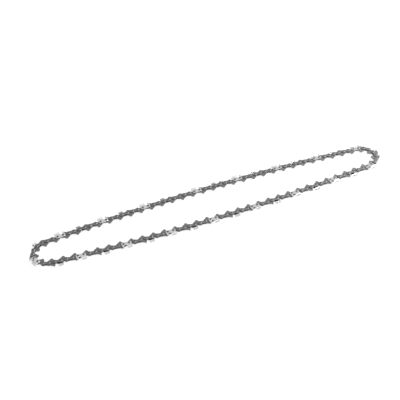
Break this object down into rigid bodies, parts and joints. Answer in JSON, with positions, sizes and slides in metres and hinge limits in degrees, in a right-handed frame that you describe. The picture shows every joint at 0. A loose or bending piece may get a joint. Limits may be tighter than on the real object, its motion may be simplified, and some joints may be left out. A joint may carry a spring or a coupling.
{
  "type": "saw chain",
  "caption": "Closed loop of low-profile saw chain lying on its side, its links riveted so that the loop flexes, with alternate left and right cutters.",
  "frame": {"origin": "centre of the chain's box, on the plane that its lower cutters rest on", "axes": "+X along the loop's long axis, +Y across the loop in the same plane, +Z along the rivets, up from the surface that it lies on"},
  "size_m": [0.6322, 0.0886, 0.0072],
  "materials": {
    "chrome": "bright hard chrome on the cutters, ground at their front edges",
    "dark_steel": "dark hardened steel, lightly oiled"
  },
  "bodies": {
    "stretch_01": {"tie_straps_01": "dark_steel"},
    "stretch_02": {"left_cutter_02": "chrome"},
    "stretch_03": {"tie_straps_03": "dark_steel"},
    "stretch_04": {"right_cutter_04": "chrome"},
    "stretch_05": {"left_cutter_05": "chrome"},
    "stretch_06": {"tie_straps_06": "dark_steel"},
    "stretch_07": {"right_cutter_07": "chrome"},
    "stretch_08": {"tie_straps_08": "dark_steel"},
    "stretch_09": {"left_cutter_09": "chrome"},
    "stretch_10": {"tie_straps_10": "dark_steel"},
    "stretch_11": {"right_cutter_11": "chrome"},
    "stretch_12": {"left_cutter_12": "chrome"},
    "stretch_13": {"tie_straps_13": "dark_steel"},
    "stretch_14": {"right_cutter_14": "chrome"},
    "stretch_15": {"tie_straps_15": "dark_steel"},
    "stretch_16": {"left_cutter_16": "chrome"},
    "stretch_17": {"tie_straps_17": "dark_steel"},
    "stretch_18": {"right_cutter_18": "chrome"},
    "stretch_19": {"left_cutter_19": "chrome"},
    "stretch_20": {"tie_straps_20": "dark_steel"},
    "stretch_21": {"right_cutter_21": "chrome"},
    "stretch_22": {"tie_straps_22": "dark_steel"},
    "stretch_23": {"left_cutter_23": "chrome"},
    "stretch_24": {"tie_straps_24": "dark_steel"},
    "stretch_25": {"right_cutter_25": "chrome"},
    "stretch_26": {"left_cutter_26": "chrome"},
    "stretch_27": {"tie_straps_27": "dark_steel"},
    "stretch_28": {"right_cutter_28": "chrome"},
    "stretch_29": {"tie_straps_29": "dark_steel"},
    "stretch_30": {"left_cutter_30": "chrome"},
    "stretch_31": {"tie_straps_31": "dark_steel"},
    "stretch_32": {"right_cutter_32": "chrome"},
    "stretch_33": {"left_cutter_33": "chrome"},
    "stretch_34": {"tie_straps_34": "dark_steel"},
    "stretch_35": {"right_cutter_35": "chrome"},
    "stretch_36": {"tie_straps_36": "dark_steel"},
    "stretch_37": {"left_cutter_37": "chrome"},
    "stretch_38": {"tie_straps_38": "dark_steel"},
    "stretch_39": {"right_cutter_39": "chrome"},
    "stretch_40": {"left_cutter_40": "chrome"},
    "stretch_41": {"tie_straps_41": "dark_steel"},
    "stretch_42": {"right_cutter_42": "chrome"},
    "stretch_43": {"tie_straps_43": "dark_steel"},
    "stretch_44": {"left_cutter_44": "chrome"},
    "stretch_45": {"right_cutter_45": "chrome"},
    "stretch_46": {"tie_straps_46": "dark_steel"},
    "stretch_47": {"tie_straps_47": "dark_steel"},
    "stretch_48": {"left_cutter_48": "chrome"},
    "stretch_49": {"tie_straps_49": "dark_steel"},
    "stretch_50": {"right_cutter_50": "chrome"},
    "stretch_51": {"tie_straps_51": "dark_steel"},
    "stretch_52": {"left_cutter_52": "chrome"},
    "stretch_53": {"right_cutter_53": "chrome"},
    "stretch_54": {"tie_straps_54": "dark_steel"},
    "stretch_55": {"left_cutter_55": "chrome"},
    "stretch_56": {"tie_straps_56": "dark_steel"},
    "stretch_57": {"right_cutter_57": "chrome"},
    "stretch_58": {"tie_straps_58": "dark_steel"},
    "stretch_59": {"left_cutter_59": "chrome"},
    "stretch_60": {"right_cutter_60": "chrome"}
  },
  "joints": [
    {"name": "rivet_02", "type": "hinge", "parent": "stretch_02", "child": "stretch_01", "pos_m": [-0.28863, -0.02281, 0.0036], "axis": [0, 0, -1], "range_deg": [-3.5, 3.5]},
    {"name": "rivet_03", "type": "hinge", "parent": "stretch_03", "child": "stretch_02", "pos_m": [-0.26081, -0.02559, 0.0036], "axis": [0, 0, -1], "range_deg": [-15, 15]},
    {"name": "rivet_04", "type": "hinge", "parent": "stretch_04", "child": "stretch_03", "pos_m": [-0.24223, -0.027, 0.0036], "axis": [0, 0, -1], "range_deg": [-15, 15]},
    {"name": "rivet_05", "type": "hinge", "parent": "stretch_05", "child": "stretch_04", "pos_m": [-0.22363, -0.0283, 0.0036], "axis": [0, 0, -1], "range_deg": [-15, 15]},
    {"name": "rivet_06", "type": "hinge", "parent": "stretch_06", "child": "stretch_05", "pos_m": [-0.19573, -0.03005, 0.0036], "axis": [0, 0, -1], "range_deg": [-15, 15]},
    {"name": "rivet_07", "type": "hinge", "parent": "stretch_07", "child": "stretch_06", "pos_m": [-0.17712, -0.03109, 0.0036], "axis": [0, 0, -1], "range_deg": [-15, 15]},
    {"name": "rivet_08", "type": "hinge", "parent": "stretch_08", "child": "stretch_07", "pos_m": [-0.1585, -0.03203, 0.0036], "axis": [0, 0, -1], "range_deg": [-15, 15]},
    {"name": "rivet_09", "type": "hinge", "parent": "stretch_09", "child": "stretch_08", "pos_m": [-0.13988, -0.03286, 0.0036], "axis": [0, 0, -1], "range_deg": [-15, 15]},
    {"name": "rivet_10", "type": "hinge", "parent": "stretch_10", "child": "stretch_09", "pos_m": [-0.11194, -0.03392, 0.0036], "axis": [0, 0, -1], "range_deg": [-15, 15]},
    {"name": "rivet_11", "type": "hinge", "parent": "stretch_11", "child": "stretch_10", "pos_m": [-0.09331, -0.03449, 0.0036], "axis": [0, 0, -1], "range_deg": [-15, 15]},
    {"name": "rivet_12", "type": "hinge", "parent": "stretch_12", "child": "stretch_11", "pos_m": [-0.07467, -0.03496, 0.0036], "axis": [0, 0, -1], "range_deg": [-15, 15]},
    {"name": "rivet_13", "type": "hinge", "parent": "stretch_13", "child": "stretch_12", "pos_m": [-0.04672, -0.03547, 0.0036], "axis": [0, 0, -1], "range_deg": [-15, 15]},
    {"name": "rivet_14", "type": "hinge", "parent": "stretch_14", "child": "stretch_13", "pos_m": [-0.02808, -0.03567, 0.0036], "axis": [0, 0, -1], "range_deg": [-15, 15]},
    {"name": "rivet_15", "type": "hinge", "parent": "stretch_15", "child": "stretch_14", "pos_m": [-0.00944, -0.03578, 0.0036], "axis": [0, 0, -1], "range_deg": [-7, 7]},
    {"name": "rivet_16", "type": "hinge", "parent": "stretch_16", "child": "stretch_15", "pos_m": [0.01852, -0.03574, 0.0036], "axis": [0, 0, -1], "range_deg": [-15, 15]},
    {"name": "rivet_17", "type": "hinge", "parent": "stretch_17", "child": "stretch_16", "pos_m": [0.03716, -0.03558, 0.0036], "axis": [0, 0, -1], "range_deg": [-15, 15]},
    {"name": "rivet_18", "type": "hinge", "parent": "stretch_18", "child": "stretch_17", "pos_m": [0.0558, -0.03532, 0.0036], "axis": [0, 0, -1], "range_deg": [-15, 15]},
    {"name": "rivet_19", "type": "hinge", "parent": "stretch_19", "child": "stretch_18", "pos_m": [0.07443, -0.03496, 0.0036], "axis": [0, 0, -1], "range_deg": [-15, 15]},
    {"name": "rivet_20", "type": "hinge", "parent": "stretch_20", "child": "stretch_19", "pos_m": [0.10238, -0.03422, 0.0036], "axis": [0, 0, -1], "range_deg": [-15, 15]},
    {"name": "rivet_21", "type": "hinge", "parent": "stretch_21", "child": "stretch_20", "pos_m": [0.12101, -0.03359, 0.0036], "axis": [0, 0, -1], "range_deg": [-15, 15]},
    {"name": "rivet_22", "type": "hinge", "parent": "stretch_22", "child": "stretch_21", "pos_m": [0.13964, -0.03286, 0.0036], "axis": [0, 0, -1], "range_deg": [-15, 15]},
    {"name": "rivet_23", "type": "hinge", "parent": "stretch_23", "child": "stretch_22", "pos_m": [0.16757, -0.03158, 0.0036], "axis": [0, 0, -1], "range_deg": [-15, 15]},
    {"name": "rivet_24", "type": "hinge", "parent": "stretch_24", "child": "stretch_23", "pos_m": [0.18618, -0.03059, 0.0036], "axis": [0, 0, -1], "range_deg": [-15, 15]},
    {"name": "rivet_25", "type": "hinge", "parent": "stretch_25", "child": "stretch_24", "pos_m": [0.20479, -0.02949, 0.0036], "axis": [0, 0, -1], "range_deg": [-15, 15]},
    {"name": "rivet_26", "type": "hinge", "parent": "stretch_26", "child": "stretch_25", "pos_m": [0.23269, -0.02766, 0.0036], "axis": [0, 0, -1], "range_deg": [-15, 15]},
    {"name": "rivet_27", "type": "hinge", "parent": "stretch_27", "child": "stretch_26", "pos_m": [0.25128, -0.02631, 0.0036], "axis": [0, 0, -1], "range_deg": [-15, 15]},
    {"name": "rivet_28", "type": "hinge", "parent": "stretch_28", "child": "stretch_27", "pos_m": [0.26986, -0.02484, 0.0036], "axis": [0, 0, -1], "range_deg": [-7.5, 7.5]},
    {"name": "rivet_29", "type": "hinge", "parent": "stretch_29", "child": "stretch_28", "pos_m": [0.28839, -0.02281, 0.0036], "axis": [0, 0, -1], "range_deg": [-3.5, 3.5]},
    {"name": "rivet_30", "type": "hinge", "parent": "stretch_30", "child": "stretch_29", "pos_m": [0.30764, -0.00466, 0.0036], "axis": [0, 0, -1], "range_deg": [-15, 15]},
    {"name": "rivet_31", "type": "hinge", "parent": "stretch_31", "child": "stretch_30", "pos_m": [0.30393, 0.01321, 0.0036], "axis": [0, 0, -1], "range_deg": [-7.5, 7.5]},
    {"name": "rivet_32", "type": "hinge", "parent": "stretch_31", "child": "stretch_32", "pos_m": [0.28839, 0.02282, 0.0036], "axis": [0, 0, 1], "range_deg": [-3.5, 3.5]},
    {"name": "rivet_33", "type": "hinge", "parent": "stretch_32", "child": "stretch_33", "pos_m": [0.26057, 0.02559, 0.0036], "axis": [0, 0, 1], "range_deg": [-15, 15]},
    {"name": "rivet_34", "type": "hinge", "parent": "stretch_33", "child": "stretch_34", "pos_m": [0.24199, 0.027, 0.0036], "axis": [0, 0, 1], "range_deg": [-15, 15]},
    {"name": "rivet_35", "type": "hinge", "parent": "stretch_34", "child": "stretch_35", "pos_m": [0.22339, 0.0283, 0.0036], "axis": [0, 0, 1], "range_deg": [-15, 15]},
    {"name": "rivet_36", "type": "hinge", "parent": "stretch_35", "child": "stretch_36", "pos_m": [0.19549, 0.03006, 0.0036], "axis": [0, 0, 1], "range_deg": [-15, 15]},
    {"name": "rivet_37", "type": "hinge", "parent": "stretch_36", "child": "stretch_37", "pos_m": [0.17688, 0.0311, 0.0036], "axis": [0, 0, 1], "range_deg": [-15, 15]},
    {"name": "rivet_38", "type": "hinge", "parent": "stretch_37", "child": "stretch_38", "pos_m": [0.15826, 0.03203, 0.0036], "axis": [0, 0, 1], "range_deg": [-15, 15]},
    {"name": "rivet_39", "type": "hinge", "parent": "stretch_38", "child": "stretch_39", "pos_m": [0.13964, 0.03287, 0.0036], "axis": [0, 0, 1], "range_deg": [-15, 15]},
    {"name": "rivet_40", "type": "hinge", "parent": "stretch_39", "child": "stretch_40", "pos_m": [0.1117, 0.03392, 0.0036], "axis": [0, 0, 1], "range_deg": [-15, 15]},
    {"name": "rivet_41", "type": "hinge", "parent": "stretch_40", "child": "stretch_41", "pos_m": [0.09307, 0.03449, 0.0036], "axis": [0, 0, 1], "range_deg": [-15, 15]},
    {"name": "rivet_42", "type": "hinge", "parent": "stretch_41", "child": "stretch_42", "pos_m": [0.07443, 0.03496, 0.0036], "axis": [0, 0, 1], "range_deg": [-15, 15]},
    {"name": "rivet_43", "type": "hinge", "parent": "stretch_42", "child": "stretch_43", "pos_m": [0.04648, 0.03547, 0.0036], "axis": [0, 0, 1], "range_deg": [-15, 15]},
    {"name": "rivet_44", "type": "hinge", "parent": "stretch_43", "child": "stretch_44", "pos_m": [0.02784, 0.03568, 0.0036], "axis": [0, 0, 1], "range_deg": [-15, 15]},
    {"name": "rivet_45", "type": "hinge", "parent": "stretch_44", "child": "stretch_45", "pos_m": [0.0092, 0.03578, 0.0036], "axis": [0, 0, 1], "range_deg": [-7, 7]},
    {"name": "rivet_46", "type": "hinge", "parent": "stretch_45", "child": "stretch_46", "pos_m": [-0.01876, 0.03574, 0.0036], "axis": [0, 0, 1], "range_deg": [-15, 15]},
    {"name": "rivet_47", "type": "hinge", "parent": "stretch_46", "child": "stretch_47", "pos_m": [-0.0374, 0.03559, 0.0036], "axis": [0, 0, 1], "range_deg": [-15, 15]},
    {"name": "rivet_48", "type": "hinge", "parent": "stretch_47", "child": "stretch_48", "pos_m": [-0.05604, 0.03533, 0.0036], "axis": [0, 0, 1], "range_deg": [-15, 15]},
    {"name": "rivet_49", "type": "hinge", "parent": "stretch_48", "child": "stretch_49", "pos_m": [-0.07467, 0.03496, 0.0036], "axis": [0, 0, 1], "range_deg": [-15, 15]},
    {"name": "rivet_50", "type": "hinge", "parent": "stretch_49", "child": "stretch_50", "pos_m": [-0.10262, 0.03422, 0.0036], "axis": [0, 0, 1], "range_deg": [-15, 15]},
    {"name": "rivet_51", "type": "hinge", "parent": "stretch_50", "child": "stretch_51", "pos_m": [-0.12125, 0.0336, 0.0036], "axis": [0, 0, 1], "range_deg": [-15, 15]},
    {"name": "rivet_52", "type": "hinge", "parent": "stretch_51", "child": "stretch_52", "pos_m": [-0.13988, 0.03287, 0.0036], "axis": [0, 0, 1], "range_deg": [-15, 15]},
    {"name": "rivet_53", "type": "hinge", "parent": "stretch_52", "child": "stretch_53", "pos_m": [-0.16781, 0.03158, 0.0036], "axis": [0, 0, 1], "range_deg": [-15, 15]},
    {"name": "rivet_54", "type": "hinge", "parent": "stretch_53", "child": "stretch_54", "pos_m": [-0.18642, 0.03059, 0.0036], "axis": [0, 0, 1], "range_deg": [-15, 15]},
    {"name": "rivet_55", "type": "hinge", "parent": "stretch_54", "child": "stretch_55", "pos_m": [-0.20503, 0.0295, 0.0036], "axis": [0, 0, 1], "range_deg": [-15, 15]},
    {"name": "rivet_56", "type": "hinge", "parent": "stretch_55", "child": "stretch_56", "pos_m": [-0.23293, 0.02766, 0.0036], "axis": [0, 0, 1], "range_deg": [-15, 15]},
    {"name": "rivet_57", "type": "hinge", "parent": "stretch_56", "child": "stretch_57", "pos_m": [-0.25152, 0.02631, 0.0036], "axis": [0, 0, 1], "range_deg": [-15, 15]},
    {"name": "rivet_58", "type": "hinge", "parent": "stretch_57", "child": "stretch_58", "pos_m": [-0.2701, 0.02484, 0.0036], "axis": [0, 0, 1], "range_deg": [-7.5, 7.5]},
    {"name": "rivet_59", "type": "hinge", "parent": "stretch_58", "child": "stretch_59", "pos_m": [-0.28863, 0.02282, 0.0036], "axis": [0, 0, 1], "range_deg": [-3.5, 3.5]},
    {"name": "rivet_60", "type": "hinge", "parent": "stretch_59", "child": "stretch_60", "pos_m": [-0.30788, 0.00466, 0.0036], "axis": [0, 0, 1], "range_deg": [-15, 15]}
  ],
  "couplings": [
    {"joint": "rivet_02", "follows": "rivet_15", "ratio": -0.5},
    {"joint": "rivet_04", "follows": "rivet_03", "ratio": -1},
    {"joint": "rivet_05", "follows": "rivet_03", "ratio": -1},
    {"joint": "rivet_06", "follows": "rivet_03", "ratio": 1},
    {"joint": "rivet_08", "follows": "rivet_07", "ratio": -1},
    {"joint": "rivet_09", "follows": "rivet_07", "ratio": -1},
    {"joint": "rivet_10", "follows": "rivet_07", "ratio": 1},
    {"joint": "rivet_12", "follows": "rivet_11", "ratio": -1},
    {"joint": "rivet_13", "follows": "rivet_11", "ratio": -1},
    {"joint": "rivet_14", "follows": "rivet_11", "ratio": 1},
    {"joint": "rivet_16", "follows": "rivet_49", "ratio": 1},
    {"joint": "rivet_17", "follows": "rivet_49", "ratio": -1},
    {"joint": "rivet_18", "follows": "rivet_49", "ratio": -1},
    {"joint": "rivet_19", "follows": "rivet_49", "ratio": 1},
    {"joint": "rivet_20", "follows": "rivet_53", "ratio": 1},
    {"joint": "rivet_21", "follows": "rivet_53", "ratio": -1},
    {"joint": "rivet_22", "follows": "rivet_53", "ratio": -1},
    {"joint": "rivet_23", "follows": "rivet_53", "ratio": 1},
    {"joint": "rivet_24", "follows": "rivet_57", "ratio": 1},
    {"joint": "rivet_25", "follows": "rivet_57", "ratio": -1},
    {"joint": "rivet_26", "follows": "rivet_57", "ratio": -1},
    {"joint": "rivet_27", "follows": "rivet_57", "ratio": 1},
    {"joint": "rivet_28", "follows": "rivet_31", "ratio": 1},
    {"joint": "rivet_29", "follows": "rivet_15", "ratio": -0.5},
    {"joint": "rivet_30", "follows": "rivet_31", "ratio": -2},
    {"joint": "rivet_32", "follows": "rivet_15", "ratio": -0.5},
    {"joint": "rivet_33", "follows": "rivet_03", "ratio": 1},
    {"joint": "rivet_34", "follows": "rivet_03", "ratio": -1},
    {"joint": "rivet_35", "follows": "rivet_03", "ratio": -1},
    {"joint": "rivet_36", "follows": "rivet_03", "ratio": 1},
    {"joint": "rivet_37", "follows": "rivet_07", "ratio": 1},
    {"joint": "rivet_38", "follows": "rivet_07", "ratio": -1},
    {"joint": "rivet_39", "follows": "rivet_07", "ratio": -1},
    {"joint": "rivet_40", "follows": "rivet_07", "ratio": 1},
    {"joint": "rivet_41", "follows": "rivet_11", "ratio": 1},
    {"joint": "rivet_42", "follows": "rivet_11", "ratio": -1},
    {"joint": "rivet_43", "follows": "rivet_11", "ratio": -1},
    {"joint": "rivet_44", "follows": "rivet_11", "ratio": 1},
    {"joint": "rivet_45", "follows": "rivet_15", "ratio": 1},
    {"joint": "rivet_46", "follows": "rivet_49", "ratio": 1},
    {"joint": "rivet_47", "follows": "rivet_49", "ratio": -1},
    {"joint": "rivet_48", "follows": "rivet_49", "ratio": -1},
    {"joint": "rivet_50", "follows": "rivet_53", "ratio": 1},
    {"joint": "rivet_51", "follows": "rivet_53", "ratio": -1},
    {"joint": "rivet_52", "follows": "rivet_53", "ratio": -1},
    {"joint": "rivet_54", "follows": "rivet_57", "ratio": 1},
    {"joint": "rivet_55", "follows": "rivet_57", "ratio": -1},
    {"joint": "rivet_56", "follows": "rivet_57", "ratio": -1},
    {"joint": "rivet_58", "follows": "rivet_31", "ratio": 1},
    {"joint": "rivet_59", "follows": "rivet_15", "ratio": -0.5},
    {"joint": "rivet_60", "follows": "rivet_31", "ratio": -2}
  ]
}
